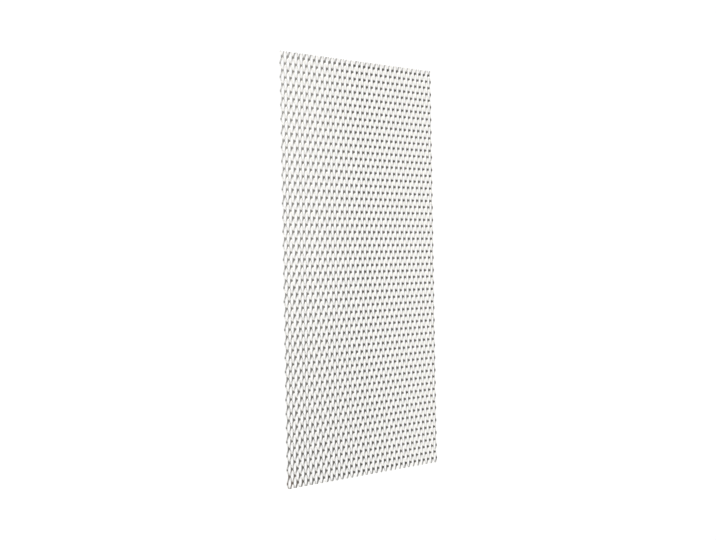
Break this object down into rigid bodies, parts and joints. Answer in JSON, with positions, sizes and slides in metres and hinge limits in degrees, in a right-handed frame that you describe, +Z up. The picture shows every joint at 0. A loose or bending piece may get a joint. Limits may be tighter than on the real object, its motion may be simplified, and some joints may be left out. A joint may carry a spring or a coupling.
{
  "type": "expanded metal sheet",
  "caption": "Flat rectangular sheet of raised expanded metal with a small diamond mesh, stock for guards, grilles, screens and infill panels.",
  "frame": {"origin": "middle of the sheet on the plane that it lies on", "axes": "+X across the strand rows, +Y along the long way of the diamonds and the sheet's long side, +Z up off the sheet"},
  "size_m": [0.2492, 0.5, 0.0032],
  "materials": {
    "mill_aluminium": "mill, as rolled and sheared"
  },
  "bodies": {
    "root": {"mesh_strip_1": "mill_aluminium", "mesh_strip_2": "mill_aluminium", "mesh_strip_3": "mill_aluminium", "mesh_strip_4": "mill_aluminium", "mesh_strip_5": "mill_aluminium", "mesh_strip_6": "mill_aluminium", "mesh_strip_7": "mill_aluminium", "mesh_strip_8": "mill_aluminium"}
  },
  "joints": []
}
